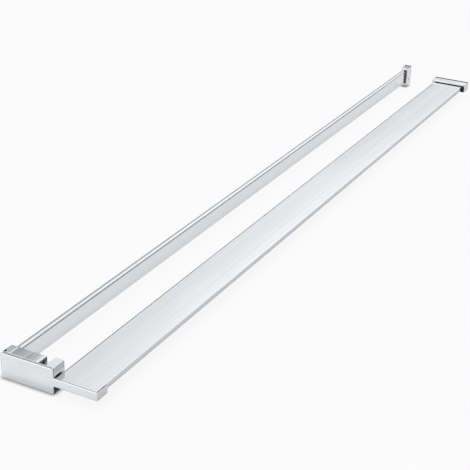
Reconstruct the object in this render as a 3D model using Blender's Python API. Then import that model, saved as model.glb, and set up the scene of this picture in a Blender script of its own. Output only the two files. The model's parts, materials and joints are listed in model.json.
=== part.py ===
"""Towel rack with shelf that spans from the free edge of a glass shower panel to the wall.

A clamp bracket grips the panel's edge. A flat towel bar stands on one side of the glass and a flat shelf lies
on the other. Each ends in a wall socket that slides on it, so that the rack fits walls that are out of true.
X runs across from the bar to the shelf, Y from the bracket to the wall, and Z up. Metres.
"""
import math

import bmesh
import bpy
from mathutils import Vector

# Fits
seat_gap = 0.0003
running_gap = 0.0006
overrun = 0.002
edge_round = 0.0004
edge_segments = 3
sharp_degrees = 40
corner_steps = 6
round_sides = 16
screw_sides = 12

# Whole rack
overall_length = 1.360
socket_depth = 0.021

# End cover
cover_height = 0.036
cover_sheet = 0.0018
cover_corner_radius = 0.0025
cover_front_round = 0.0010
strip_fillet_radius = 0.001
strip_height = 0.0115
return_length = 0.022
cover_stud_radius = 0.002
cover_stud_length = 0.0027
cover_stud_from_slot = 0.005

# Carrier plate
carrier_thickness = 0.003
carrier_inset = 0.0003
carrier_corner_cut = 0.0050
arm_below_strip_edge = 0.0004
bush_wall = 0.0012

# Clamp jaws
outer_jaw_width = 0.035
outer_jaw_depth = 0.0177
jaw_land_width = 0.0104
jaw_step_width = 0.0013
jaw_step_drop = 0.0005
jaw_chamfer_width = 0.0018
jaw_chamfer_drop = 0.0008
jaw_corner_reach = 0.0056
jaw_corner_length = 0.0090
jaw_corner_slope = 0.16
inner_jaw_width = 0.0131
inner_jaw_depth = 0.0202
jaw_side_inset = 0.0006
jaw_edge_round = 0.0008

# Clamp shoe
thinnest_glass = 0.006
clamp_travel = 0.0032
pressure_block_width = 0.0130
shoe_plate_width = 0.0064
shoe_lift = 0.0004
pad_pocket_depth = 0.0020
pad_pocket_rim = 0.003
shoe_lip = 0.0065
outer_pad_proud = 0.0006
inner_pad_pocket = 0.0010
inner_pad_proud = 0.0012
inner_pad_rim = 0.003
guide_pin_radius = 0.002
guide_pin_wall = 0.0015
guide_pin_cover = 0.0014
guide_pin_from_edge = 0.0077
clamp_screw_radius = 0.003
clamp_screw_recess = 0.003
clamp_screw_hex = 0.0016
clamp_screw_hex_depth = 0.0035

# Screws
jaw_screw_radius = 0.002
jaw_screw_head_radius = 0.0038
jaw_screw_head_depth = 0.0019
jaw_screw_reach = 0.012
jaw_screw_from_edge = 0.007
outer_jaw_screw_from_bar = 0.0041
bar_screw_radius = 0.0016
bar_screw_head_radius = 0.0032
bar_screw_head_depth = 0.0030
bar_screw_reach = 0.010
shelf_screw_radius = 0.0014
shelf_screw_head_radius = 0.0026
shelf_screw_head_depth = 0.0014
shelf_screw_reach = 0.009
shoe_screw_radius = 0.0015
shoe_screw_head_radius = 0.0028
shoe_screw_head_depth = 0.0014
shoe_screw_reach = 0.007
shoe_screw_from_edge = 0.010
shoe_screw_from_front = 0.005
set_screw_radius = 0.002
set_screw_hex = 0.0011
set_screw_hex_depth = 0.0014

# Towel bar
bar_inset = 0.0084
bar_thickness = 0.008
bar_height = 0.027
bar_wall = 0.0016
bar_corner_radius = 0.0014
bar_shelf_side_radius = 0.0024
bar_slope_width = 0.0040
bar_slope_drop = 0.0010
bar_port_from_edge = 0.0052
bar_port_web = 0.0086
bar_chamber_radius = 0.0008

# Shelf
shelf_rise = 0.0149
shelf_thickness = 0.0083
shelf_width = 0.0618
shelf_slit = 0.0012
shelf_skin = 0.0015
shelf_corner_radius = 0.0026
shelf_port_rise = 0.0034
shelf_port_from_edge = 0.006
shelf_port_web = 0.0072
shelf_chamber_radius = 0.0009

# Wall sockets
socket_grip = 0.0145
socket_cavity_depth = 0.0185
socket_edge_round = 0.0009
liner_thickness = 0.0010
bar_liner_side = 0.0024
bar_liner_lap = 0.0034
shelf_liner_side = 0.0034
shelf_liner_start = 0.0030
bar_socket_height = 0.0375
bar_socket_thin_wall = 0.0012
bar_socket_screw_wall = 0.0012
bar_socket_screw_below_middle = 0.0070
shelf_socket_inner_wall = 0.0040
shelf_socket_outer_wall = 0.0016
shelf_socket_floor = 0.0034
shelf_socket_roof = 0.0025
set_screw_depth = 0.0110
bar_set_screw_recess = 0.0005
shelf_set_screw_from_edge = 0.012
wall_hole_radius = 0.0023
wall_hole_sink = 0.0015
bar_wall_hole_spacing = 0.018
shelf_wall_hole_spacing = 0.044
seal_thickness = 0.0012
seal_hold = 0.0012
seal_lip = 0.0007

# Places along Y
carrier_front = cover_sheet + seat_gap
carrier_back = carrier_front + carrier_thickness
jaw_front = carrier_back + seat_gap
outer_jaw_back = jaw_front + outer_jaw_depth
inner_jaw_back = jaw_front + inner_jaw_depth
bar_start = outer_jaw_back + seat_gap
socket_front = overall_length - socket_depth
rail_end = socket_front + socket_grip
cavity_end = socket_front + socket_cavity_depth
jaw_middle = jaw_front + outer_jaw_depth / 2

# Places along X
bar_left = bar_inset
bar_right = bar_left + bar_thickness
bar_middle = (bar_left + bar_right) / 2
block_left = outer_jaw_width + running_gap
block_right = block_left + pressure_block_width
shoe_left = block_right + seat_gap
shoe_right = shoe_left + shoe_plate_width
outer_pad_face = shoe_right + outer_pad_proud
inner_pad_face = outer_pad_face + thinnest_glass + clamp_travel
inner_jaw_left = inner_pad_face + inner_pad_proud
inner_jaw_right = inner_jaw_left + inner_jaw_width
cover_width = inner_jaw_right + jaw_side_inset
shelf_left = inner_jaw_right + shelf_slit
shelf_right = shelf_left + shelf_width
return_left = shelf_right + seat_gap
cover_right = return_left + cover_sheet

# Places along Z
lowered_top = cover_height - jaw_step_drop
bar_bottom = cover_height - bar_height
bar_centre = bar_bottom + bar_height / 2
shelf_bottom = shelf_rise
shelf_top = shelf_rise + shelf_thickness
strip_bottom = shelf_top - strip_height
arm_bottom = strip_bottom + arm_below_strip_edge
arm_top = shelf_top - shelf_skin - seat_gap
shelf_port_height = shelf_bottom + shelf_port_rise

# Outer boxes of the wall sockets, across and up
bar_socket_left = bar_left - seat_gap - bar_socket_thin_wall
bar_liner_left = bar_right - bar_liner_lap
bar_cavity_right = bar_right + bar_liner_side + 2 * seat_gap
bar_socket_right = bar_cavity_right + bar_socket_screw_wall
bar_socket_bottom = bar_centre - bar_socket_height / 2
bar_socket_top = bar_centre + bar_socket_height / 2
bar_cavity_top = cover_height + liner_thickness + 2 * seat_gap
shelf_socket_left = shelf_left - seat_gap - shelf_socket_inner_wall
shelf_liner_left = shelf_left + shelf_liner_start
shelf_cavity_right = shelf_right + shelf_liner_side + 2 * seat_gap
shelf_socket_right = shelf_cavity_right + shelf_socket_outer_wall
shelf_socket_bottom = shelf_bottom - seat_gap - shelf_socket_floor
shelf_cavity_top = shelf_top + liner_thickness + 2 * seat_gap
shelf_socket_top = shelf_cavity_top + shelf_socket_roof
overall_width = shelf_socket_right

# Repeated places: screws, studs and holes
jaw_screw_heights = (jaw_screw_from_edge, cover_height - jaw_screw_from_edge)
jaw_screw_columns = (bar_right + outer_jaw_screw_from_bar, (inner_jaw_left + inner_jaw_right) / 2)
guide_pin_start = jaw_screw_columns[0] + jaw_screw_radius + guide_pin_wall
stud_columns = (outer_jaw_width - cover_stud_from_slot, inner_pad_face - cover_stud_from_slot)
bar_port_heights = (bar_bottom + bar_port_from_edge, cover_height - bar_port_from_edge)
shelf_port_columns = (
    shelf_left + shelf_port_from_edge,
    (shelf_left + shelf_right) / 2,
    shelf_right - shelf_port_from_edge,
)
guide_pin_heights = (guide_pin_from_edge, cover_height - guide_pin_from_edge)
shoe_screw_heights = (shoe_screw_from_edge, cover_height - shoe_screw_from_edge)
shoe_screw_depth = jaw_front + shoe_screw_from_front
shelf_set_screw_columns = (shelf_left + shelf_set_screw_from_edge, shelf_right - shelf_set_screw_from_edge)
set_screw_place = socket_front + set_screw_depth

# Which outline directions a prism uses for each direction that it is drawn out along
PLANES = {
    "X": (Vector((0, 1, 0)), Vector((0, 0, 1)), Vector((1, 0, 0))),
    "Y": (Vector((1, 0, 0)), Vector((0, 0, 1)), Vector((0, 1, 0))),
    "Z": (Vector((1, 0, 0)), Vector((0, 1, 0)), Vector((0, 0, 1))),
}


def clear_scene():
    """Remove whatever the opened file holds."""
    for item in list(bpy.data.objects):
        bpy.data.objects.remove(item, do_unlink=True)


def finish(name, colour, roughness, metallic):
    """Return a plain shader material."""
    made = bpy.data.materials.new(name)
    made.use_nodes = True
    shader = made.node_tree.nodes["Principled BSDF"]
    shader.inputs["Base Color"].default_value = (*colour, 1)
    shader.inputs["Roughness"].default_value = roughness
    shader.inputs["Metallic"].default_value = metallic
    return made


def chrome(name):
    return finish(name + "_chrome", (0.82, 0.83, 0.85), 0.08, 1)


def bright_aluminium(name):
    return finish(name + "_bright_aluminium", (0.86, 0.87, 0.88), 0.16, 1)


def plated_steel(name):
    return finish(name + "_plated_steel", (0.60, 0.61, 0.63), 0.30, 1)


def black_rubber(name):
    return finish(name + "_black_rubber", (0.02, 0.02, 0.02), 0.75, 0)


def black_plastic(name):
    return finish(name + "_black_plastic", (0.03, 0.03, 0.03), 0.45, 0)


def arc(centre, radius, start, end, steps):
    """Return points along an arc, angles in degrees, both ends included."""
    points = []
    for step in range(steps + 1):
        angle = math.radians(start + (end - start) * step / steps)
        points.append((centre[0] + radius * math.cos(angle), centre[1] + radius * math.sin(angle)))
    return points


def circle(centre, radius, sides):
    return arc(centre, radius, 0, 360 - 360 / sides, sides - 1)


def rectangle(low, high):
    return [(low[0], low[1]), (high[0], low[1]), (high[0], high[1]), (low[0], high[1])]


def grow(low, high, by):
    """Return a rectangle's corners moved out by a distance on every side."""
    return (low[0] - by, low[1] - by), (high[0] + by, high[1] + by)


def stepped_rectangle(low, high, step_left, step_height):
    """Return a rectangle that is lower to the left of a step."""
    step = [(step_left, high[1]), (step_left, step_height), (low[0], step_height)]
    return [low, (high[0], low[1]), high, *step]


def round_corners(outline, radii, steps=corner_steps):
    """Return a counter-clockwise outline with each of its corners turned into an arc of its own radius."""
    points = []
    for i, (corner, radius) in enumerate(zip(outline, radii)):
        corner = Vector(corner)
        before = (corner - Vector(outline[i - 1])).normalized()
        after = (Vector(outline[(i + 1) % len(outline)]) - corner).normalized()
        turn = before.angle_signed(after)
        reach = radius * math.tan(abs(turn) / 2)
        inward = Vector((-before.y, before.x))
        centre = corner - before * reach + inward * radius
        start = math.degrees(math.atan2(-inward.y, -inward.x))
        points += arc(centre, radius, start, start + math.degrees(abs(turn)), steps)
    return points


def rounded_rectangle(low, high, radius, steps=corner_steps):
    return round_corners(rectangle(low, high), [radius] * 4, steps)


def add_prism(mesh, loops, along, start, end):
    """Fill an outline, less the loops inside it, and draw it out from start to end."""
    first, second, third = PLANES[along]
    edges = []
    rings = []
    for loop in loops:
        ring = [mesh.verts.new(first * u + second * v + third * start) for u, v in loop]
        rings.append(ring)
        edges += [mesh.edges.new((ring[i - 1], ring[i])) for i in range(len(ring))]
    if len(rings) == 1:
        faces = [mesh.faces.new(rings[0])]
    else:
        filled = bmesh.ops.triangle_fill(mesh, use_beauty=True, edges=edges)
        faces = [item for item in filled["geom"] if isinstance(item, bmesh.types.BMFace)]
    drawn = bmesh.ops.extrude_face_region(mesh, geom=faces)
    moved = [item for item in drawn["geom"] if isinstance(item, bmesh.types.BMVert)]
    bmesh.ops.translate(mesh, verts=moved, vec=third * (end - start))
    return moved


def add_turned(mesh, outline, base, direction, sides):
    """Spin an outline of (radius, distance along) pairs, from axis to axis, into a closed round body."""
    along = Vector(direction).normalized()
    across = along.orthogonal().normalized()
    base = Vector(base)
    points = [mesh.verts.new(base + across * radius + along * distance) for radius, distance in outline]
    edges = [mesh.edges.new(pair) for pair in zip(points, points[1:])]
    bmesh.ops.spin(
        mesh,
        geom=points + edges,
        cent=base,
        axis=along,
        angle=math.tau,
        steps=sides,
        use_merge=True,
    )


def add_rod(mesh, base, direction, length, radius, sides=round_sides):
    add_turned(mesh, [(0, 0), (radius, 0), (radius, length), (0, length)], base, direction, sides)


def add_countersunk_hole(mesh, base, direction, radius, head_radius, head_depth, length):
    """Add the cutter for such a screw's hole: it starts an overrun before the base."""
    outline = [
        (0, -overrun),
        (head_radius, -overrun),
        (head_radius, 0),
        (radius, head_depth),
        (radius, length),
        (0, length),
    ]
    add_turned(mesh, outline, base, direction, screw_sides)


def close(mesh, name, make_finish=None):
    """Turn a working mesh into an object with faces out, shaded smooth up to its sharp edges."""
    bmesh.ops.remove_doubles(mesh, verts=mesh.verts, dist=seat_gap / 100)
    bmesh.ops.recalc_face_normals(mesh, faces=mesh.faces)
    data = bpy.data.meshes.new(name)
    mesh.to_mesh(data)
    mesh.free()
    data.shade_smooth()
    data.set_sharp_from_angle(angle=math.radians(35))
    made = bpy.data.objects.new(name, data)
    bpy.context.scene.collection.objects.link(made)
    if make_finish:
        data.materials.append(make_finish(name))
    return made


def make_countersunk_screw(name, base, direction, radius, head_radius, head_depth, length):
    """Make a screw whose flat head starts at the base and whose tapered end is the given length away."""
    mesh = bmesh.new()
    outline = [
        (0, 0),
        (head_radius, 0),
        (radius, head_depth),
        (radius, length - radius),
        (radius / 2, length),
        (0, length),
    ]
    add_turned(mesh, outline, base, direction, screw_sides)
    return close(mesh, name, plated_steel)


def hide_tool(tool):
    tool.display_type = "WIRE"
    tool.hide_render = True


def shape_with(target, tool, operation="DIFFERENCE"):
    """Cut a tool out of a target, or join it on, and put the tool out of sight."""
    change = target.modifiers.new(tool.name, "BOOLEAN")
    change.operation = operation
    change.solver = "EXACT"
    change.object = tool
    hide_tool(tool)
    return change


def make_grub_screw(name, base, direction, length, radius, hex_radius, hex_depth):
    """Make a headless screw whose key socket opens at the base."""
    mesh = bmesh.new()
    outline = [(0, 0), (radius, 0), (radius, length - radius / 2), (radius / 2, length), (0, length)]
    add_turned(mesh, outline, base, direction, round_sides)
    screw = close(mesh, name, plated_steel)
    key = bmesh.new()
    along = Vector(direction)
    add_rod(key, Vector(base) - along * overrun, direction, hex_depth + overrun, hex_radius, 6)
    shape_with(screw, close(key, name + "_key"))
    return screw


def soften(target, width):
    """Round the outer edges of a body."""
    change = target.modifiers.new("edges", "BEVEL")
    change.width = width
    change.segments = edge_segments
    change.limit_method = "ANGLE"
    change.angle_limit = math.radians(sharp_degrees)
    return change


def weigh_normals(target):
    """Keep wide faces flat in shading where they meet rounds and holes."""
    change = target.modifiers.new("normals", "WEIGHTED_NORMAL")
    change.keep_sharp = True


def empty(name, place, parent=None):
    made = bpy.data.objects.new(name, None)
    made.location = place
    made.parent = parent
    bpy.context.scene.collection.objects.link(made)
    return made


def hang(pieces, parent):
    """Parent pieces drawn in the rack's own frame to an empty, and leave them where they are."""
    for piece in pieces:
        if piece.modifiers:
            weigh_normals(piece)
        piece.parent = parent
        if parent.parent:
            piece.location = -parent.location


def make_end_cover():
    """Cover plate with an arm over the shelf's end, and a return round the shelf's corner."""
    mesh = bmesh.new()
    right = cover_width
    fillet = strip_fillet_radius
    outline = [
        (0, 0),
        (right, 0),
        *arc((right + fillet, strip_bottom - fillet), fillet, 180, 90, 3),
        (return_left, strip_bottom),
        (cover_right, strip_bottom),
        (cover_right, shelf_top),
        (return_left, shelf_top),
        *arc((right + fillet, shelf_top + fillet), fillet, 270, 180, 3),
        *arc((right - cover_corner_radius, cover_height - cover_corner_radius), cover_corner_radius, 0, 90, 4),
        (0, cover_height),
    ]
    back = add_prism(mesh, [outline], "Y", 0, cover_sheet)
    roots = [vert for vert in back if math.isclose(vert.co.x, return_left, abs_tol=seat_gap / 100)]
    bmesh.ops.connect_verts(mesh, verts=roots)
    ends = [face for face in roots[0].link_faces if face in roots[1].link_faces]
    end = min(ends, key=lambda face: face.calc_area())
    grown = bmesh.ops.extrude_discrete_faces(mesh, faces=[end])["faces"][0]
    bmesh.ops.translate(mesh, verts=grown.verts, vec=(0, return_length - cover_sheet, 0))
    weights = mesh.edges.layers.float.new("bevel_weight_edge")
    for edge in mesh.edges:
        at_front = all(math.isclose(vert.co.y, 0, abs_tol=seat_gap / 100) for vert in edge.verts)
        if edge.calc_face_angle() > math.radians(sharp_degrees):
            edge[weights] = 1 if at_front else edge_round / cover_front_round
    cover = close(mesh, "end_cover", chrome)
    soften(cover, cover_front_round).limit_method = "WEIGHT"
    studs = bmesh.new()
    for column in stud_columns:
        base = (column, cover_sheet - seat_gap, cover_height / 2)
        add_rod(studs, base, (0, 1, 0), cover_stud_length + seat_gap, cover_stud_radius)
    shape_with(cover, close(studs, "end_cover_studs"), "UNION")
    return cover


def make_cover_bushes():
    """Rings in the carrier plate that grip the cover's studs."""
    bushes = []
    inner = cover_stud_radius + seat_gap
    for number, column in enumerate(stud_columns, 1):
        mesh = bmesh.new()
        centre = (column, cover_height / 2)
        loops = [circle(centre, inner + bush_wall, round_sides), circle(centre, inner, round_sides)]
        add_prism(mesh, loops, "Y", carrier_front, carrier_back)
        bushes.append(close(mesh, f"cover_bush_{number}", black_plastic))
    return bushes


def make_carrier_plate():
    """Plate that the jaws are screwed to, its outer corner cut off, with an arm under the shelf's top skin."""
    mesh = bmesh.new()
    right = cover_width - carrier_inset
    outline = [
        (carrier_inset, 0),
        (right, 0),
        (right, arm_bottom),
        (shelf_right, arm_bottom),
        (shelf_right, arm_top),
        (right, arm_top),
        *arc((right - cover_corner_radius, cover_height - cover_corner_radius), cover_corner_radius, 0, 90, 4),
        (carrier_inset + carrier_corner_cut, cover_height),
        (carrier_inset, cover_height - carrier_corner_cut),
    ]
    add_prism(mesh, [outline], "Y", carrier_front, carrier_back)
    plate = close(mesh, "carrier_plate", plated_steel)
    holes = bmesh.new()
    front = (0, 1, 0)
    through = carrier_thickness + overrun
    for column in jaw_screw_columns:
        for height in jaw_screw_heights:
            add_countersunk_hole(
                holes,
                (column, carrier_front, height),
                front,
                jaw_screw_radius + seat_gap,
                jaw_screw_head_radius + seat_gap,
                jaw_screw_head_depth,
                through,
            )
    for column in shelf_port_columns:
        add_countersunk_hole(
            holes,
            (column, carrier_front, shelf_port_height),
            front,
            shelf_screw_radius + seat_gap,
            shelf_screw_head_radius + seat_gap,
            shelf_screw_head_depth,
            through,
        )
    bush_hole = cover_stud_radius + bush_wall + 2 * seat_gap
    for column in stud_columns:
        base = (column, carrier_front - overrun, cover_height / 2)
        add_rod(holes, base, front, carrier_thickness + 2 * overrun, bush_hole)
    shape_with(plate, close(holes, "carrier_plate_holes"))
    return plate


def make_jaw_screws():
    """Screws through the carrier plate, two into each jaw."""
    screws = []
    for column in jaw_screw_columns:
        for height in jaw_screw_heights:
            screw = make_countersunk_screw(
                f"jaw_screw_{len(screws) + 1}",
                (column, carrier_front, height),
                (0, 1, 0),
                jaw_screw_radius,
                jaw_screw_head_radius,
                jaw_screw_head_depth,
                carrier_thickness + jaw_screw_reach,
            )
            screws.append(screw)
    return screws


def add_jaw_screw_holes(mesh, column):
    """Add the blind holes that two of the jaw screws go into."""
    for height in jaw_screw_heights:
        base = (column, jaw_front - overrun, height)
        length = jaw_screw_reach + overrun + seat_gap
        add_rod(mesh, base, (0, 1, 0), length, jaw_screw_radius + seat_gap, screw_sides)


def make_jaw_corner():
    """Cutter that eases the outer jaw's top at its outer front corner and dies out along both edges."""
    mesh = bmesh.new()
    top = cover_height
    front = jaw_front - overrun
    reach = jaw_corner_reach * (1 + overrun / jaw_corner_length)
    back = jaw_front + jaw_corner_length * (1 + overrun / jaw_corner_reach)
    corners = [
        (reach, front, top),
        (-overrun, front, top - jaw_corner_slope * (reach + overrun)),
        (-overrun, front, top + overrun),
        (-overrun, back, top),
        (-overrun, back, top + overrun),
    ]
    points = [mesh.verts.new(corner) for corner in corners]
    bmesh.ops.convex_hull(mesh, input=points)
    return close(mesh, "outer_jaw_corner")


def make_outer_jaw():
    """Bar-side jaw, with a raised land along its outer top edge."""
    mesh = bmesh.new()
    outline = [
        (0, 0),
        (outer_jaw_width, 0),
        (outer_jaw_width, lowered_top),
        (jaw_land_width + jaw_step_width, lowered_top),
        (jaw_land_width, cover_height),
        (jaw_chamfer_width, cover_height),
        (0, cover_height - jaw_chamfer_drop),
    ]
    add_prism(mesh, [outline], "Y", jaw_front, outer_jaw_back)
    jaw = close(mesh, "outer_jaw", chrome)
    soften(jaw, jaw_edge_round)
    shape_with(jaw, make_jaw_corner())
    holes = bmesh.new()
    add_jaw_screw_holes(holes, jaw_screw_columns[0])
    for height in bar_port_heights:
        base = (bar_middle, jaw_front - overrun, height)
        length = bar_screw_head_depth + overrun + seat_gap
        add_rod(holes, base, (0, 1, 0), length, bar_screw_head_radius + seat_gap, screw_sides)
        length = outer_jaw_depth + 2 * overrun
        add_rod(holes, base, (0, 1, 0), length, bar_screw_radius + seat_gap, screw_sides)
    for height in guide_pin_heights:
        base = (outer_jaw_width + overrun, jaw_middle, height)
        length = outer_jaw_width - guide_pin_start + overrun + seat_gap
        add_rod(holes, base, (-1, 0, 0), length, guide_pin_radius + seat_gap, screw_sides)
    base = (-overrun, jaw_middle, bar_centre)
    add_rod(holes, base, (1, 0, 0), outer_jaw_width + 2 * overrun, clamp_screw_radius + seat_gap)
    shape_with(jaw, close(holes, "outer_jaw_holes")).use_self = True
    return jaw


def make_inner_jaw():
    """Shelf-side jaw, with a shallow pocket for its pad."""
    mesh = bmesh.new()
    outline = rectangle((inner_jaw_left, 0), (inner_jaw_right, cover_height))
    add_prism(mesh, [outline], "Y", jaw_front, inner_jaw_back)
    jaw = close(mesh, "inner_jaw", chrome)
    soften(jaw, jaw_edge_round)
    holes = bmesh.new()
    add_jaw_screw_holes(holes, jaw_screw_columns[1])
    low = (jaw_front + inner_pad_rim, inner_pad_rim)
    high = (inner_jaw_back - inner_pad_rim, cover_height - inner_pad_rim)
    add_prism(holes, [rectangle(low, high)], "X", inner_jaw_left - overrun, inner_jaw_left + inner_pad_pocket)
    shape_with(jaw, close(holes, "inner_jaw_holes"))
    return jaw


def make_inner_glass_pad():
    mesh = bmesh.new()
    inset = inner_pad_rim + seat_gap
    outline = rounded_rectangle(
        (jaw_front + inset, inset),
        (inner_jaw_back - inset, cover_height - inset),
        edge_round,
    )
    add_prism(mesh, [outline], "X", inner_pad_face, inner_jaw_left + inner_pad_pocket - seat_gap)
    return close(mesh, "inner_glass_pad", black_rubber)


def make_guide_pins():
    """Pins held in the outer jaw, on which the pressure block slides."""
    pins = []
    start = guide_pin_start
    end = block_right - guide_pin_cover - seat_gap
    for number, height in enumerate(guide_pin_heights, 1):
        mesh = bmesh.new()
        add_rod(mesh, (start, jaw_middle, height), (1, 0, 0), end - start, guide_pin_radius, screw_sides)
        pins.append(close(mesh, f"guide_pin_{number}", plated_steel))
    return pins


def make_pressure_block():
    """Block between the outer jaw and the shoe plate, bored for the guide pins and the shoe's screws."""
    mesh = bmesh.new()
    outline = rectangle((block_left, shoe_lift), (block_right, lowered_top))
    add_prism(mesh, [outline], "Y", jaw_front, outer_jaw_back)
    block = close(mesh, "pressure_block", chrome)
    soften(block, jaw_edge_round)
    holes = bmesh.new()
    for height in guide_pin_heights:
        base = (block_left - overrun, jaw_middle, height)
        length = pressure_block_width - guide_pin_cover + overrun
        add_rod(holes, base, (1, 0, 0), length, guide_pin_radius + seat_gap, screw_sides)
    for height in shoe_screw_heights:
        base = (block_right + overrun, shoe_screw_depth, height)
        length = shoe_screw_reach + overrun + seat_gap
        add_rod(holes, base, (-1, 0, 0), length, shoe_screw_radius + seat_gap, screw_sides)
    shape_with(block, close(holes, "pressure_block_holes"))
    return block


def make_shoe_plate():
    """Plate with a pocket for the pad, closed at its far end by a lip."""
    mesh = bmesh.new()
    outline = rectangle((shoe_left, shoe_lift), (shoe_right, cover_height))
    add_prism(mesh, [outline], "Y", jaw_front, outer_jaw_back)
    plate = close(mesh, "shoe_plate", chrome)
    soften(plate, jaw_edge_round)
    holes = bmesh.new()
    low = (jaw_front - overrun, shoe_lift + pad_pocket_rim)
    high = (outer_jaw_back - shoe_lip, cover_height - pad_pocket_rim)
    floor = shoe_right - pad_pocket_depth
    add_prism(holes, [rectangle(low, high)], "X", floor, shoe_right + overrun)
    shape_with(plate, close(holes, "shoe_plate_pocket"))
    sinks = bmesh.new()
    for height in shoe_screw_heights:
        add_countersunk_hole(
            sinks,
            (floor, shoe_screw_depth, height),
            (-1, 0, 0),
            shoe_screw_radius + seat_gap,
            shoe_screw_head_radius + seat_gap,
            shoe_screw_head_depth,
            shoe_plate_width + overrun,
        )
    shape_with(plate, close(sinks, "shoe_plate_holes"))
    return plate


def make_shoe_screws():
    """Screws through the floor of the shoe plate's pocket into the pressure block."""
    screws = []
    floor = shoe_right - pad_pocket_depth
    length = floor - block_right + shoe_screw_reach
    for number, height in enumerate(shoe_screw_heights, 1):
        screw = make_countersunk_screw(
            f"shoe_screw_{number}",
            (floor, shoe_screw_depth, height),
            (-1, 0, 0),
            shoe_screw_radius,
            shoe_screw_head_radius,
            shoe_screw_head_depth,
            length,
        )
        screws.append(screw)
    return screws


def make_outer_glass_pad():
    mesh = bmesh.new()
    inset = shoe_lift + pad_pocket_rim + seat_gap
    outline = rounded_rectangle(
        (jaw_front + seat_gap, inset),
        (outer_jaw_back - shoe_lip - seat_gap, cover_height - pad_pocket_rim - seat_gap),
        edge_round,
    )
    add_prism(mesh, [outline], "X", shoe_right - pad_pocket_depth + seat_gap, outer_pad_face)
    return close(mesh, "outer_glass_pad", black_rubber)


def make_clamp_screw():
    """Screw in the outer jaw whose end pushes the pressure block."""
    length = block_left - seat_gap - clamp_screw_recess
    base = (clamp_screw_recess, jaw_middle, bar_centre)
    hexagon = (clamp_screw_hex, clamp_screw_hex_depth)
    return make_grub_screw("clamp_screw", base, (1, 0, 0), length, clamp_screw_radius, *hexagon)


def make_bar_end_screws():
    """Screws through the outer jaw into the bar's ports."""
    screws = []
    length = outer_jaw_depth + bar_screw_reach
    head = bar_screw_head_depth
    outline = [
        (0, 0),
        (bar_screw_head_radius, 0),
        (bar_screw_head_radius, head),
        (bar_screw_radius, head),
        (bar_screw_radius, length),
        (0, length),
    ]
    for number, height in enumerate(bar_port_heights, 1):
        mesh = bmesh.new()
        add_turned(mesh, outline, (bar_middle, jaw_front, height), (0, 1, 0), screw_sides)
        screws.append(close(mesh, f"bar_end_screw_{number}", plated_steel))
    return screws


def make_towel_bar():
    """Extruded bar on edge, its top sloped towards the shelf, with two screw ports and a chamber between."""
    mesh = bmesh.new()
    outline = [
        (bar_left, bar_bottom),
        (bar_right, bar_bottom),
        (bar_right, cover_height - bar_slope_drop),
        (bar_right - bar_slope_width, cover_height),
        (bar_left, cover_height),
    ]
    radii = [bar_corner_radius] * len(outline)
    radii[2] = bar_shelf_side_radius
    loops = [round_corners(outline, radii)]
    for height in bar_port_heights:
        loops.append(circle((bar_middle, height), bar_screw_radius + seat_gap, screw_sides))
    low = (bar_left + bar_wall, bar_bottom + bar_port_web)
    high = (bar_right - bar_wall, cover_height - bar_port_web)
    loops.append(rounded_rectangle(low, high, bar_chamber_radius))
    add_prism(mesh, loops, "Y", bar_start, rail_end)
    return close(mesh, "towel_bar", bright_aluminium)


def make_shelf():
    """Extruded shelf: three webs hold the screw ports, and the end is milled out under its top skin."""
    mesh = bmesh.new()
    low = (shelf_left, shelf_bottom)
    high = (shelf_right, shelf_top)
    loops = [rounded_rectangle(low, high, shelf_corner_radius)]
    for column in shelf_port_columns:
        loops.append(circle((column, shelf_port_height), shelf_screw_radius + seat_gap, screw_sides))
    for left, right in zip(shelf_port_columns, shelf_port_columns[1:]):
        near = (left + shelf_port_web / 2, shelf_bottom + shelf_skin)
        far = (right - shelf_port_web / 2, shelf_top - shelf_skin)
        loops.append(rounded_rectangle(near, far, shelf_chamber_radius))
    add_prism(mesh, loops, "Y", carrier_front, rail_end)
    shelf = close(mesh, "shelf", bright_aluminium)
    notch = bmesh.new()
    low = (shelf_left - overrun, shelf_bottom - overrun)
    high = (shelf_right + overrun, arm_top + seat_gap)
    add_prism(notch, [rectangle(low, high)], "Y", carrier_front - overrun, jaw_front)
    shape_with(shelf, close(notch, "shelf_end_notch"))
    return shelf


def make_shelf_end_screws():
    """Screws through the carrier's arm into the shelf's ports."""
    screws = []
    for number, column in enumerate(shelf_port_columns, 1):
        screw = make_countersunk_screw(
            f"shelf_end_screw_{number}",
            (column, carrier_front, shelf_port_height),
            (0, 1, 0),
            shelf_screw_radius,
            shelf_screw_head_radius,
            shelf_screw_head_depth,
            carrier_thickness + shelf_screw_reach,
        )
        screws.append(screw)
    return screws


def make_socket(name, low, high, mouth, wall_holes):
    """Cup with a back wall, its mouth towards the bracket, screw holes, and a rebate for the wall seal."""
    mesh = bmesh.new()
    add_prism(mesh, [rectangle(low, high)], "Y", socket_front, overall_length)
    socket = close(mesh, name, chrome)
    soften(socket, socket_edge_round)
    cavity = bmesh.new()
    add_prism(cavity, [mouth], "Y", socket_front - overrun, cavity_end)
    shape_with(socket, close(cavity, name + "_cavity"))
    rebate = bmesh.new()
    loops = [rectangle(*grow(low, high, overrun)), rectangle(*grow(low, high, -seal_hold - seat_gap))]
    rebate_end = overall_length - seal_thickness - seat_gap
    add_prism(rebate, loops, "Y", rebate_end, overall_length + overrun)
    shape_with(socket, close(rebate, name + "_rebate"))
    holes = bmesh.new()
    for column, height in wall_holes:
        add_countersunk_hole(
            holes,
            (column, cavity_end, height),
            (0, 1, 0),
            wall_hole_radius,
            wall_hole_radius + wall_hole_sink,
            wall_hole_sink,
            overall_length - cavity_end + overrun,
        )
    shape_with(socket, close(holes, name + "_wall_holes"))
    return socket


def make_wall_seal(name, low, high):
    """Ring round the back of a socket that closes its joint with the wall, with a lip above the socket."""
    mesh = bmesh.new()
    loops = [rectangle(low, (high[0], high[1] + seal_lip)), rectangle(*grow(low, high, -seal_hold))]
    add_prism(mesh, loops, "Y", overall_length - seal_thickness, overall_length)
    return close(mesh, name, black_rubber)


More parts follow.
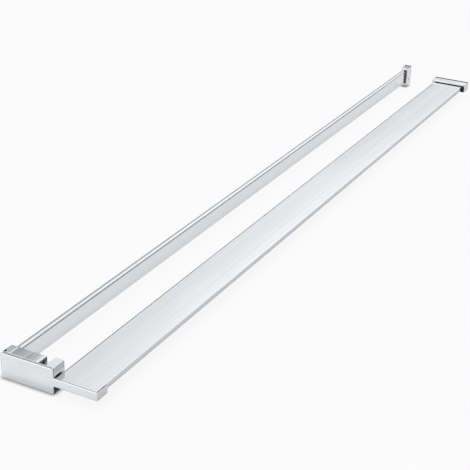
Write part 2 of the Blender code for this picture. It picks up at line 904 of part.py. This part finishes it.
def make_bar_wall_seal():
    low = (bar_socket_left, bar_socket_bottom)
    high = (bar_socket_right, bar_socket_top)
    return make_wall_seal("bar_wall_seal", low, high)


def make_bar_wall_socket():
    wall_holes = [(bar_middle, bar_centre + side * bar_wall_hole_spacing / 2) for side in (-1, 1)]
    mouth = stepped_rectangle(
        (bar_left - seat_gap, bar_bottom - seat_gap),
        (bar_cavity_right, bar_cavity_top),
        bar_liner_left - seat_gap,
        cover_height + seat_gap,
    )
    socket = make_socket(
        "bar_wall_socket",
        (bar_socket_left, bar_socket_bottom),
        (bar_socket_right, bar_socket_top),
        mouth,
        wall_holes,
    )
    hole = bmesh.new()
    base = (bar_cavity_right - overrun, set_screw_place, bar_centre - bar_socket_screw_below_middle)
    add_rod(hole, base, (1, 0, 0), bar_socket_screw_wall + 2 * overrun, set_screw_radius + seat_gap)
    shape_with(socket, close(hole, "bar_wall_socket_screw_hole"))
    return socket


def make_bar_socket_liner():
    """Strip that laps over the bar's top edge and runs down its screw side."""
    mesh = bmesh.new()
    right = bar_cavity_right - seat_gap
    top = bar_cavity_top - seat_gap
    outline = [
        (bar_liner_left, cover_height + seat_gap),
        (bar_right + seat_gap, cover_height + seat_gap),
        (bar_right + seat_gap, bar_bottom),
        (right, bar_bottom),
        (right, top),
        (bar_liner_left, top),
    ]
    add_prism(mesh, [outline], "Y", socket_front + seat_gap, cavity_end - seat_gap)
    liner = close(mesh, "bar_socket_liner", black_plastic)
    hole = bmesh.new()
    base = (bar_right, set_screw_place, bar_centre - bar_socket_screw_below_middle)
    add_rod(hole, base, (1, 0, 0), bar_liner_side + overrun, set_screw_radius + seat_gap)
    shape_with(liner, close(hole, "bar_socket_liner_hole"))
    return liner


def make_bar_set_screw():
    """Screw in the socket's side that bears on the bar."""
    outer = bar_socket_right - bar_set_screw_recess
    base = (outer, set_screw_place, bar_centre - bar_socket_screw_below_middle)
    length = outer - bar_right - seat_gap
    hexagon = (set_screw_hex, set_screw_hex_depth)
    return make_grub_screw("bar_set_screw", base, (-1, 0, 0), length, set_screw_radius, *hexagon)


def make_shelf_wall_seal():
    low = (shelf_socket_left, shelf_socket_bottom)
    high = (shelf_socket_right, shelf_socket_top)
    return make_wall_seal("shelf_wall_seal", low, high)


def make_shelf_wall_socket():
    middle = (shelf_left + shelf_right) / 2
    height = (shelf_bottom + shelf_top) / 2
    wall_holes = [(middle + side * shelf_wall_hole_spacing / 2, height) for side in (-1, 1)]
    mouth = stepped_rectangle(
        (shelf_left - seat_gap, shelf_bottom - seat_gap),
        (shelf_cavity_right, shelf_cavity_top),
        shelf_liner_left - seat_gap,
        shelf_top + seat_gap,
    )
    socket = make_socket(
        "shelf_wall_socket",
        (shelf_socket_left, shelf_socket_bottom),
        (shelf_socket_right, shelf_socket_top),
        mouth,
        wall_holes,
    )
    holes = bmesh.new()
    for column in shelf_set_screw_columns:
        base = (column, set_screw_place, shelf_socket_bottom - overrun)
        length = shelf_socket_floor + 2 * overrun
        add_rod(holes, base, (0, 0, 1), length, set_screw_radius + seat_gap)
    shape_with(socket, close(holes, "shelf_wall_socket_screw_holes"))
    return socket


def make_shelf_socket_liner():
    """Strip that lies over the shelf and down its outer edge."""
    mesh = bmesh.new()
    right = shelf_cavity_right - seat_gap
    top = shelf_cavity_top - seat_gap
    outline = [
        (shelf_liner_left, shelf_top + seat_gap),
        (shelf_right + seat_gap, shelf_top + seat_gap),
        (shelf_right + seat_gap, shelf_bottom),
        (right, shelf_bottom),
        (right, top),
        (shelf_liner_left, top),
    ]
    add_prism(mesh, [outline], "Y", socket_front + seat_gap, cavity_end - seat_gap)
    return close(mesh, "shelf_socket_liner", black_plastic)


def make_shelf_set_screws():
    """Screws in the socket's underside that bear on the shelf."""
    screws = []
    base_height = shelf_socket_bottom + seat_gap
    length = shelf_bottom - seat_gap - base_height
    for number, column in enumerate(shelf_set_screw_columns, 1):
        base = (column, set_screw_place, base_height)
        hexagon = (set_screw_hex, set_screw_hex_depth)
        name = f"shelf_set_screw_{number}"
        screws.append(make_grub_screw(name, base, (0, 0, 1), length, set_screw_radius, *hexagon))
    return screws


def build():
    clear_scene()
    rack = empty("rack", (-overall_width / 2, -overall_length / 2, 0))
    shoe = empty("clamp_slide", (shoe_right, jaw_middle, bar_centre), rack)
    screw = empty("clamp_screw_turn", (clamp_screw_recess, jaw_middle, bar_centre), rack)
    bar_socket = empty("bar_socket_slide", (bar_middle, rail_end, bar_centre), rack)
    shelf_centre = ((shelf_left + shelf_right) / 2, rail_end, (shelf_bottom + shelf_top) / 2)
    shelf_socket = empty("shelf_socket_slide", shelf_centre, rack)
    hang(
        [
            make_end_cover(),
            *make_cover_bushes(),
            make_carrier_plate(),
            *make_jaw_screws(),
            make_outer_jaw(),
            make_inner_jaw(),
            make_inner_glass_pad(),
            *make_guide_pins(),
            *make_bar_end_screws(),
            make_towel_bar(),
            make_shelf(),
            *make_shelf_end_screws(),
        ],
        rack,
    )
    hang([make_pressure_block(), make_shoe_plate(), *make_shoe_screws(), make_outer_glass_pad()], shoe)
    hang([make_clamp_screw()], screw)
    hang([make_bar_wall_socket(), make_bar_socket_liner(), make_bar_wall_seal()], bar_socket)
    hang([make_bar_set_screw()], bar_socket)
    hang([make_shelf_wall_socket(), make_shelf_socket_liner(), make_shelf_wall_seal()], shelf_socket)
    hang(make_shelf_set_screws(), shelf_socket)
    for tool in bpy.data.objects:
        if tool.display_type == "WIRE":
            tool.parent = rack


build()
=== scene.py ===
"""Studio picture of the towel rack with shelf: its finishes, floor, light and camera."""
import json
import math

import bmesh
import bpy
from mathutils import Matrix, Vector


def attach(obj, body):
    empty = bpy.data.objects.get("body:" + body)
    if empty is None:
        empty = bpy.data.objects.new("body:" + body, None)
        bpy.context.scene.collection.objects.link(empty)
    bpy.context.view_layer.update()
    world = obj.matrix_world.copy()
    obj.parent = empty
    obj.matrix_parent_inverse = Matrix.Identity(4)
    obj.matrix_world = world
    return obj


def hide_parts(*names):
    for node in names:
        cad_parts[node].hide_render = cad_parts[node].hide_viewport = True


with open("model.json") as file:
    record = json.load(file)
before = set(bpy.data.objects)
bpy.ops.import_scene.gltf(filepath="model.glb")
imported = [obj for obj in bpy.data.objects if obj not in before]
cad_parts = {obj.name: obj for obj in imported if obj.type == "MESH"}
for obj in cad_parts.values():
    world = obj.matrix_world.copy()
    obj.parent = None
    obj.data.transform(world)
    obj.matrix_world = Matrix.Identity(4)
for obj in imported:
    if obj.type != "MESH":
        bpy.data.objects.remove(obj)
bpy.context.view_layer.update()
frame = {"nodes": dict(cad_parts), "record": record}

# Camera, worked out from the photograph's vanishing lines and the rack's sizes
PICTURE = 470
FOCAL_PIXELS = 1204.945
SENSOR = 36
CAMERA_PLACE = Vector((0.779462, -1.676599, 0.817726))
CAMERA_YAW = -0.48704
CAMERA_PITCH = 0.44665
CAMERA_ROLL = -0.02280
CAMERA_SIGHT = 100

# Floor as the camera sees it: its colour, its glow, and how far and how deep a painted contact shadow
# darkens the glow by the rack's foot
FLOOR_SIZE = 24
FLOOR_SEEN_LEVEL = 0.07
SEEN_GLOW = 0.895
PAINTED_SHADOW_REACH = 0.0065
PAINTED_SHADOW_DEPTH = 1.5
PAINTED_SHADOW_RAYS = 16

# Floor as the metal mirrors it, the share kept under painted shade behind the cover's front, right and left,
# and a painted shadow
FLOOR_MIRRORED_COLOUR = (0.905, 0.915, 0.925)
SHADE_PAINTED_BEHIND = 0.92
SHADE_PAINTED_RIGHT = 0.86
SHADE_PAINTED_LEFT = 0.30
MIRRORED_PAINTED_SHADOW_REACH = 0.030
MIRRORED_PAINTED_SHADOW_RAYS = 8

# Where those painted shade patches of the mirrored floor begin or end, each over a short way along X or Y
BEHIND_EDGE = (-0.694, -0.688)
UNDER_EDGE = (0.0, 0.01)
RIGHT_EDGE = (0.03, 0.08)
LEFT_SIDE_EDGE = (-0.095, -0.085)
LEFT_BACK_EDGE = (0.0, 0.2)
LEFT_FRONT_EDGE = (-0.5923, -0.5907)
LEFT_FRONT_SLOPE = 1.167

# Light on matt faces from all round, and a lamp nearly overhead
STUDIO_LEVEL = 0.60
KEY_STRENGTH = 1.25
KEY_SPREAD = 1.0
KEY_PLACE = Vector((-0.35, 0.25, 2.2))

# Mirrored light round the rack's long axis: degrees from the right horizon up and over, and a level
BANDS = (
    (-20, 0.90),
    (-14, 0.90),
    (-6, 0.45),
    (-1, 0.10),
    (22, 0.12),
    (34, 0.45),
    (47, 0.68),
    (70, 1.02),
    (128, 1.12),
    (131.6, 1.13),
    (134, 0.945),
    (139, 0.03),
    (200, 0.03),
)

# The same for the narrow range that the jaws' and sockets' flat tops reflect
FINE_BANDS = (
    (134.0, 0.945),
    (134.7, 1.02),
    (135.2, 1.05),
    (135.79, 1.14),
    (135.83, 0.62),
    (136.28, 0.60),
    (136.32, 0.68),
    (136.8, 0.52),
    (137.08, 0.42),
    (137.12, 0.66),
    (137.6, 0.66),
    (138.2, 0.03),
)

# How the mirrored light changes along the rack: the reflected direction's Y part, and a factor
LENGTHWISE = (
    (0.4, 0.86),
    (0.68, 0.88),
    (0.74, 0.93),
    (0.80, 1.0),
    (0.84, 0.985),
    (0.88, 0.935),
    (0.90, 0.88),
    (1.0, 0.82),
)

# In front of the rack and beside it: a plain level, and a brighter panel between two edges
PLAIN_LEVEL = 0.90
PANEL_LEVEL = 1.25
PANEL_LEFT_EDGE = (-0.80, -0.70)
PANEL_RIGHT_EDGE = (-0.35, -0.25)
BANDS_EDGE = (0.25, 0.45)

# A slightly cool light, more so where it is dim: factor and exponent for red and for blue
COOL_RED = (0.985, 1.03)
COOL_BLUE = (1.018, 0.98)

# Merging of the CAD meshes' copies
MERGE_DISTANCE = 0.000002
FLAT_ANGLE = 0.002

# Their shading: the bend that stays an edge, how wide a flat face is, and the slight chamfer of a crisp edge
SHARP_ANGLE = math.radians(35)
BROAD_REACH = 0.0004
CRISP_LEAN = math.radians(7.5)
CRISP_SLANT = 0.1

# Patterns of the finishes: cells per metre along X, Y and Z, then detail and roughness of the noise
HAZE = ((35, 35, 35), 3, 0.5)
SWIRLS = ((900, 140, 300), 2, 0.5)
PEEL = ((420, 420, 420), 1, 0.5)
HAIRLINES = ((2600, 3, 2600), 3, 0.6)
SHEEN = ((160, 1.5, 160), 2, 0.5)
BLOTCHES = ((18, 4, 18), 2, 0.5)
SCUFFS = ((700, 700, 700), 4, 0.7)
DUST = ((60, 60, 60), 2, 0.5)
RUBBER_PORES = ((1500, 1500, 1500), 3, 0.6)
MOULDED_PORES = ((900, 900, 900), 3, 0.6)
SPANGLE_CELLS = (300, 300, 300)

# The values of a pattern over which a colour or a roughness changes
MIDDLE = (0.3, 0.7)
WIPED = (0.35, 0.75)
SWIRL_TOPS = (0.55, 0.75)
BLOTCH_TOPS = (0.4, 0.7)
DUST_TOPS = (0.4, 0.8)
SPANGLE_SPAN = (0.1, 0.7)

# Colours of the finishes, each from one shade to another
CHROME_COLOURS = ((0.815, 0.825, 0.838), (0.850, 0.857, 0.866))
EXTRUSION_COLOURS = ((0.835, 0.842, 0.852), (0.885, 0.89, 0.895))
ZINC_COLOURS = ((0.50, 0.51, 0.53), (0.64, 0.65, 0.66))
BRIGHT_ZINC_COLOURS = ((0.78, 0.79, 0.80), (0.86, 0.865, 0.87))
RUBBER_COLOURS = ((0.016, 0.016, 0.017), (0.035, 0.034, 0.033))
BLACK_COLOURS = ((0.020, 0.020, 0.021), (0.034, 0.034, 0.035))
GREY_COLOURS = ((0.22, 0.22, 0.222), (0.28, 0.28, 0.282))

# Roughness of the finishes, from the smoother spots to the duller ones
CHROME_ROUGHNESS = (0.018, 0.032)
SWIRL_ROUGHNESS = (0.0, 0.015)
EXTRUSION_ROUGHNESS = (0.10, 0.14)
BLOTCH_ROUGHNESS = (0.0, 0.02)
ZINC_ROUGHNESS = (0.24, 0.42)
RUBBER_ROUGHNESS = (0.62, 0.77)
BLACK_ROUGHNESS = (0.38, 0.53)
GREY_ROUGHNESS = (0.42, 0.57)

# Relief of the finishes: strength and height
CHROME_RELIEF = (0.015, 0.0001)
EXTRUSION_RELIEF = (0.02, 0.00005)
ZINC_RELIEF = (0.15, 0.0001)
RUBBER_RELIEF = (0.25, 0.0002)
MOULDED_RELIEF = (0.1, 0.0002)
SWIRL_SHARE = 0.3

# Which CAD nodes take which finish; the rest are zinc plated
CHROMED = (
    "end_cover",
    "outer_jaw",
    "inner_jaw",
    "pressure_block",
    "shoe_plate",
    "bar_wall_socket",
    "shelf_wall_socket",
)
EXTRUDED = ("towel_bar", "shelf")
RUBBERY = ("inner_glass_pad", "outer_glass_pad", "bar_wall_seal", "shelf_wall_seal")
BLACK_MOULDED = ("cover_bush_1", "cover_bush_2", "shelf_socket_liner")
GREY_MOULDED = ("bar_socket_liner",)
BRIGHT_ZINC = ("carrier_plate",)
BODIES = frame["record"]["behaviour"]["bodies"]
BODY_OF = {node: body for body, nodes in BODIES.items() for node in nodes}

# Places of a Mix node's colour sockets
MIX_FIRST = 6
MIX_SECOND = 7
MIX_RESULT = 2


class Socket:
    """An output socket that Python's operators turn into Math nodes."""

    def __init__(self, sheet, link):
        self.sheet = sheet
        self.link = link

    def maths(self, operation, *others):
        return self.sheet.add("ShaderNodeMath", {"operation": operation}, *others)

    def __add__(self, other):
        return self.maths("ADD", self, other)

    def __radd__(self, other):
        return self.maths("ADD", other, self)

    def __sub__(self, other):
        return self.maths("SUBTRACT", self, other)

    def __rsub__(self, other):
        return self.maths("SUBTRACT", other, self)

    def __mul__(self, other):
        return self.maths("MULTIPLY", self, other)

    def __rmul__(self, other):
        return self.maths("MULTIPLY", other, self)

    def __truediv__(self, other):
        return self.maths("DIVIDE", self, other)

    def __pow__(self, other):
        return self.maths("POWER", self, other)


class Sheet:
    """The node tree of one material or world."""

    def __init__(self, owner):
        owner.use_nodes = True
        self.tree = owner.node_tree
        self.tree.nodes.clear()

    def place(self, kind, settings, values):
        """Make a node: its settings first, then its sockets by position or by name."""
        made = self.tree.nodes.new(kind)
        for name, value in settings.items():
            if name == "stops":
                self.set_stops(made, value)
            else:
                setattr(made, name, value)
        for key, value in values.items():
            if isinstance(value, Socket):
                self.tree.links.new(value.link, made.inputs[key])
            else:
                made.inputs[key].default_value = value
        return made

    def set_stops(self, ramp, stops):
        elements = ramp.color_ramp.elements
        while len(elements) > 1:
            elements.remove(elements[-1])
        elements[0].position = stops[0][0]
        elements[0].color = (*stops[0][1], 1)
        for position, colour in stops[1:]:
            elements.new(position).color = (*colour, 1)

    def add(self, kind, settings, *values, out=0, **named):
        """Make a node and return one of its outputs."""
        sockets = dict(enumerate(values))
        for key, value in named.items():
            sockets[key.replace("_", " ")] = value
        return Socket(self, self.place(kind, settings, sockets).outputs[out])

    def output(self, kind, shader):
        self.place(kind, {}, {"Surface": shader})

    def finish(self, **named):
        """Give the material one Principled shader with these sockets."""
        self.output("ShaderNodeOutputMaterial", self.add("ShaderNodeBsdfPrincipled", {}, **named))


def grey(level):
    return level, level, level


def cool(level):
    return COOL_RED[0] * level ** COOL_RED[1], level, COOL_BLUE[0] * level ** COOL_BLUE[1]


def mix_colour(sheet, amount, first, second):
    settings = {"data_type": "RGBA", "clamp_factor": True}
    made = sheet.place("ShaderNodeMix", settings, {"Factor": amount})
    for place, value in ((MIX_FIRST, first), (MIX_SECOND, second)):
        if isinstance(value, Socket):
            sheet.tree.links.new(value.link, made.inputs[place])
        else:
            made.inputs[place].default_value = (*value, 1)
    return Socket(sheet, made.outputs[MIX_RESULT])


def product(sheet, vector, factors):
    """Two vectors or colours multiplied part by part."""
    return sheet.add("ShaderNodeVectorMath", {"operation": "MULTIPLY"}, vector, factors)


def part(sheet, vector, axis):
    return sheet.add("ShaderNodeSeparateXYZ", {}, vector, out=axis)


def ray(sheet, kind):
    """1 for a ray of this kind and 0 for others."""
    return sheet.add("ShaderNodeLightPath", {}, out=kind)


def openness(sheet, rays, reach):
    """1 where nothing is near a surface, and less where something closes it in."""
    return sheet.add("ShaderNodeAmbientOcclusion", {"samples": rays}, Distance=reach, out=1)


def stretch(sheet, scale):
    """Object coordinates with each axis scaled by its own amount."""
    return product(sheet, sheet.add("ShaderNodeTexCoord", {}, out="Object"), scale)


def noise(sheet, cells, detail, roughness):
    sockets = {"Vector": stretch(sheet, cells), "Scale": 1.0, "Detail": detail, "Roughness": roughness}
    return sheet.add("ShaderNodeTexNoise", {}, **sockets)


def spread(sheet, value, low, high, start=0.0, end=1.0):
    """A smooth step from one amount to another between two values."""
    settings = {"interpolation_type": "SMOOTHSTEP"}
    return sheet.add("ShaderNodeMapRange", settings, value, low, high, start, end)


def fade(sheet, value, low, high):
    """A smooth step down from 1 to 0."""
    return spread(sheet, value, low, high, 1.0, 0.0)


def bump(sheet, height, strength, distance):
    return sheet.add("ShaderNodeBump", {}, Strength=strength, Distance=distance, Height=height)


def levels(sheet, value, stops, colour):
    """A ramp of levels over a value's own range."""
    start = stops[0][0]
    reach = stops[-1][0] - start
    colours = [((place - start) / reach, colour(level)) for place, level in stops]
    return sheet.add("ShaderNodeValToRGB", {"stops": colours}, (value - start) / reach)


def make_chrome(name, colours):
    """Polished chrome plate: faint haze from wiping, fine swirls and a trace of orange peel."""
    made = bpy.data.materials.new(name)
    sheet = Sheet(made)
    haze = noise(sheet, *HAZE)
    swirls = noise(sheet, *SWIRLS)
    peel = noise(sheet, *PEEL)
    rough = spread(sheet, haze, *WIPED, *CHROME_ROUGHNESS)
    sheet.finish(
        Base_Color=mix_colour(sheet, spread(sheet, haze, *MIDDLE), *colours),
        Metallic=1.0,
        Roughness=rough + spread(sheet, swirls, *SWIRL_TOPS, *SWIRL_ROUGHNESS),
        Normal=bump(sheet, peel + swirls * SWIRL_SHARE, *CHROME_RELIEF),
    )
    return made


def make_extrusion(name, colours):
    """Bright anodised extrusion: hairline die marks along its length over a soft sheen."""
    made = bpy.data.materials.new(name)
    sheet = Sheet(made)
    lines = noise(sheet, *HAIRLINES)
    sheen = noise(sheet, *SHEEN)
    blotches = noise(sheet, *BLOTCHES)
    rough = spread(sheet, sheen, *MIDDLE, *EXTRUSION_ROUGHNESS)
    sheet.finish(
        Base_Color=mix_colour(sheet, spread(sheet, lines, *MIDDLE), *colours),
        Metallic=1.0,
        Roughness=rough + spread(sheet, blotches, *BLOTCH_TOPS, *BLOTCH_ROUGHNESS),
        Normal=bump(sheet, lines, *EXTRUSION_RELIEF),
    )
    return made


def make_steel(name, colours):
    """Zinc plated steel: dull spangle and small scuffs."""
    made = bpy.data.materials.new(name)
    sheet = Sheet(made)
    spangle = sheet.add("ShaderNodeTexVoronoi", {}, Vector=stretch(sheet, SPANGLE_CELLS), Scale=1.0)
    scuffs = noise(sheet, *SCUFFS)
    sheet.finish(
        Base_Color=mix_colour(sheet, spread(sheet, spangle, *SPANGLE_SPAN), *colours),
        Metallic=1.0,
        Roughness=spread(sheet, scuffs, *MIDDLE, *ZINC_ROUGHNESS),
        Normal=bump(sheet, scuffs, *ZINC_RELIEF),
    )
    return made


def make_moulded(name, colours, roughness, pores, relief):
    """Rubber or moulded plastic: fine pores and a little dust."""
    made = bpy.data.materials.new(name)
    sheet = Sheet(made)
    grain = noise(sheet, *pores)
    dust = noise(sheet, *DUST)
    sheet.finish(
        Base_Color=mix_colour(sheet, spread(sheet, dust, *DUST_TOPS), *colours),
        Roughness=spread(sheet, grain, *MIDDLE, *roughness),
        Normal=bump(sheet, grain, *relief),
    )
    return made


def put(name, data):
    """Add a new object to the scene."""
    made = bpy.data.objects.new(name, data)
    bpy.context.scene.collection.objects.link(made)
    return made


def broad_face(face):
    """Whether a face is one of the flat ones, and not a facet of a round."""
    return face.calc_area() / face.calc_perimeter() > BROAD_REACH


def crisp_normal(normal):
    """On a crisp edge a round's upper half shades as a slight chamfer, and its lower half as the side."""
    side = math.copysign(1, normal.x)
    if abs(normal.x) > normal.z:
        return Vector((side, 0, 0))
    return Vector((side * math.sin(CRISP_LEAN), 0, math.cos(CRISP_LEAN)))


def corner_normal(corner, broad, crisp):
    """A flat face keeps its own normal, and a round's facets lean from one flat face over to the next."""
    face = corner.face
    if broad[face.index]:
        return face.normal.copy()
    if crisp and face.normal.z > 0 and abs(face.normal.y) < CRISP_SLANT:
        return crisp_normal(face.normal)
    near = [other for other in corner.vert.link_faces if other.normal.angle(face.normal) < SHARP_ANGLE]
    flat = [other for other in near if broad[other.index]]
    if flat:
        return min(flat, key=lambda other: other.normal.angle(face.normal)).normal.copy()
    total = Vector()
    for other in near:
        total += other.normal
    return total.normalized()


def finely_shade(name, material, crisp=False):
    """Stand a merged copy in for a CAD node, whose rounds then shade smoothly beside its flat faces."""
    mesh = bmesh.new()
    mesh.from_mesh(frame["nodes"][name].data)
    bmesh.ops.remove_doubles(mesh, verts=mesh.verts, dist=MERGE_DISTANCE)
    bmesh.ops.dissolve_limit(mesh, angle_limit=FLAT_ANGLE, verts=mesh.verts, edges=mesh.edges)
    mesh.faces.index_update()
    mesh.normal_update()
    broad = [broad_face(face) for face in mesh.faces]
    normals = [corner_normal(corner, broad, crisp) for face in mesh.faces for corner in face.loops]
    for face in mesh.faces:
        face.smooth = True
    data = bpy.data.meshes.new(name + "_fine")
    mesh.to_mesh(data)
    mesh.free()
    data.materials.clear()
    data.materials.append(material)
    data.normals_split_custom_set(normals)
    piece = put(name + "_fine", data)
    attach(piece, BODY_OF[name])
    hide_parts(name)


def dress(names, material):
    for name in names:
        for place in frame["nodes"][name].material_slots:
            place.material = material


def make_camera():
    """Camera at the photograph's place: yaw and pitch first, then the small roll."""
    turn = Matrix.Rotation(-CAMERA_YAW, 3, "Z")
    tilt = Matrix.Rotation(-CAMERA_PITCH, 3, "X")
    forward = turn @ tilt @ Vector((0, 1, 0))
    right = turn @ Vector((1, 0, 0))
    up = right.cross(forward)
    roll = Matrix.Rotation(CAMERA_ROLL, 3, forward)
    right = roll @ right
    up = roll @ up
    made = bpy.data.cameras.new("camera")
    made.sensor_width = SENSOR
    made.lens = FOCAL_PIXELS / PICTURE * SENSOR
    made.clip_end = CAMERA_SIGHT
    holder = put("camera", made)
    sight = Matrix((right, up, -forward)).transposed().to_4x4()
    holder.matrix_world = Matrix.Translation(CAMERA_PLACE) @ sight
    bpy.context.scene.camera = holder


def mirrored_floor_with_painted_shade(sheet):
    """The floor's colour in the metal, with painted shade and a painted shadow where the photograph's metal
    mirrors something darker.
    """
    place = sheet.add("ShaderNodeTexCoord", {}, out="Object")
    across = part(sheet, place, "X")
    along = part(sheet, place, "Y")
    # Painted shade: the mirrored floor darker behind the cover's front, at the right, and in a dark patch at
    # the left
    behind_shade_mask = spread(sheet, along, *BEHIND_EDGE)
    level = 1 - behind_shade_mask * (1 - SHADE_PAINTED_BEHIND)
    level = level * spread(sheet, across, *RIGHT_EDGE, 1.0, SHADE_PAINTED_RIGHT)
    left_dark_mask = spread(sheet, along - across * LEFT_FRONT_SLOPE, *LEFT_FRONT_EDGE)
    left_dark_mask = left_dark_mask * fade(sheet, along, *LEFT_BACK_EDGE)
    level = level * (1 - left_dark_mask * spread(sheet, across, *LEFT_SIDE_EDGE, 1 - SHADE_PAINTED_LEFT, 0.0))
    # Painted shadow: the mirrored floor darkened by occlusion under the shelf
    under_shadow_mask = behind_shade_mask * spread(sheet, across, *UNDER_EDGE)
    level = level * (1 - under_shadow_mask * (1 - openness(sheet, MIRRORED_PAINTED_SHADOW_RAYS, MIRRORED_PAINTED_SHADOW_REACH)))
    level = sheet.add("ShaderNodeCombineXYZ", {}, *grey(level))
    return product(sheet, level, FLOOR_MIRRORED_COLOUR)


def make_floor():
    """Pale floor that shows white to the camera and in the metal, keeps the lamp's shadow, and has painted
    shadows near the rack.
    """
    mesh = bpy.data.meshes.new("floor")
    plane = bmesh.new()
    bmesh.ops.create_grid(plane, x_segments=1, y_segments=1, size=FLOOR_SIZE / 2)
    plane.to_mesh(mesh)
    plane.free()
    put("floor", mesh)
    made = bpy.data.materials.new("floor_white")
    sheet = Sheet(made)
    seen = ray(sheet, "Is Camera Ray")
    shone = ray(sheet, "Is Glossy Ray")
    passed = ray(sheet, "Is Transmission Ray")
    # Painted contact shadow: the camera's floor glow is darkened by occlusion near the rack's foot
    glow_with_painted_shadow = openness(sheet, PAINTED_SHADOW_RAYS, PAINTED_SHADOW_REACH) ** PAINTED_SHADOW_DEPTH * SEEN_GLOW
    glow_with_painted_shadow = sheet.add("ShaderNodeCombineXYZ", {}, *grey(glow_with_painted_shadow))
    sheet.finish(
        Base_Color=mix_colour(sheet, shone + passed, grey(FLOOR_SEEN_LEVEL), mirrored_floor_with_painted_shade(sheet)),
        Roughness=1.0,
        Specular_IOR_Level=0.0,
        Emission_Color=mix_colour(sheet, seen, grey(0), glow_with_painted_shadow),
        Emission_Strength=1.0,
    )
    mesh.materials.append(made)


def make_studio():
    """White studio with long overhead panels along the rack, which the metal reflects as soft bands."""
    world = bpy.data.worlds.new("studio")
    bpy.context.scene.world = world
    sheet = Sheet(world)
    way = sheet.add("ShaderNodeTexCoord", {}, out="Generated")
    across = part(sheet, way, "X")
    along = part(sheet, way, "Y")
    up = part(sheet, way, "Z")
    around = up.maths("ARCTAN2", up, across) * math.degrees(1)
    fine = around.maths("GREATER_THAN", around, FINE_BANDS[0][0])
    fine = fine * around.maths("LESS_THAN", around, FINE_BANDS[-1][0])
    broad_levels = levels(sheet, around, BANDS, cool)
    fine_levels = levels(sheet, around, FINE_BANDS, cool)
    bands = mix_colour(sheet, fine, broad_levels, fine_levels)
    bands = product(sheet, bands, levels(sheet, along, LENGTHWISE, grey))
    panel = spread(sheet, across, *PANEL_LEFT_EDGE) * fade(sheet, across, *PANEL_RIGHT_EDGE)
    front = mix_colour(sheet, panel, grey(PLAIN_LEVEL), grey(PANEL_LEVEL))
    mirrored = mix_colour(sheet, spread(sheet, along, *BANDS_EDGE), front, bands)
    seen = ray(sheet, "Is Camera Ray")
    shone = ray(sheet, "Is Glossy Ray")
    passed = ray(sheet, "Is Transmission Ray")
    white = mix_colour(sheet, seen + passed, grey(STUDIO_LEVEL), grey(1))
    colour = mix_colour(sheet, shone, white, mirrored)
    sheet.output("ShaderNodeOutputWorld", sheet.add("ShaderNodeBackground", {}, colour, 1.0))


def make_key():
    """A broad soft light nearly overhead, whose shadow keeps close to the rack's foot."""
    lamp = bpy.data.lights.new("key", "SUN")
    lamp.energy = KEY_STRENGTH
    lamp.angle = KEY_SPREAD
    holder = put("key", lamp)
    holder.location = KEY_PLACE
    holder.rotation_euler = (-KEY_PLACE).to_track_quat("-Z", "Y").to_euler()
    holder.visible_glossy = False


bpy.context.scene.view_settings.view_transform = "Standard"
make_camera()
make_floor()
make_studio()
make_key()
dress(frame["nodes"], make_steel("zinc_plate", ZINC_COLOURS))
dress(BRIGHT_ZINC, make_steel("bright_zinc_plate", BRIGHT_ZINC_COLOURS))
chrome_plate = make_chrome("chrome_plate", CHROME_COLOURS)
for name in CHROMED:
    finely_shade(name, chrome_plate)
bright_extrusion = make_extrusion("bright_extrusion", EXTRUSION_COLOURS)
for name in EXTRUDED:
    finely_shade(name, bright_extrusion, crisp=name == "shelf")
rubber = make_moulded("pad_rubber", RUBBER_COLOURS, RUBBER_ROUGHNESS, RUBBER_PORES, RUBBER_RELIEF)
dress(RUBBERY, rubber)
black = make_moulded("black_moulding", BLACK_COLOURS, BLACK_ROUGHNESS, MOULDED_PORES, MOULDED_RELIEF)
dress(BLACK_MOULDED, black)
light_grey = make_moulded("grey_moulding", GREY_COLOURS, GREY_ROUGHNESS, MOULDED_PORES, MOULDED_RELIEF)
dress(GREY_MOULDED, light_grey)
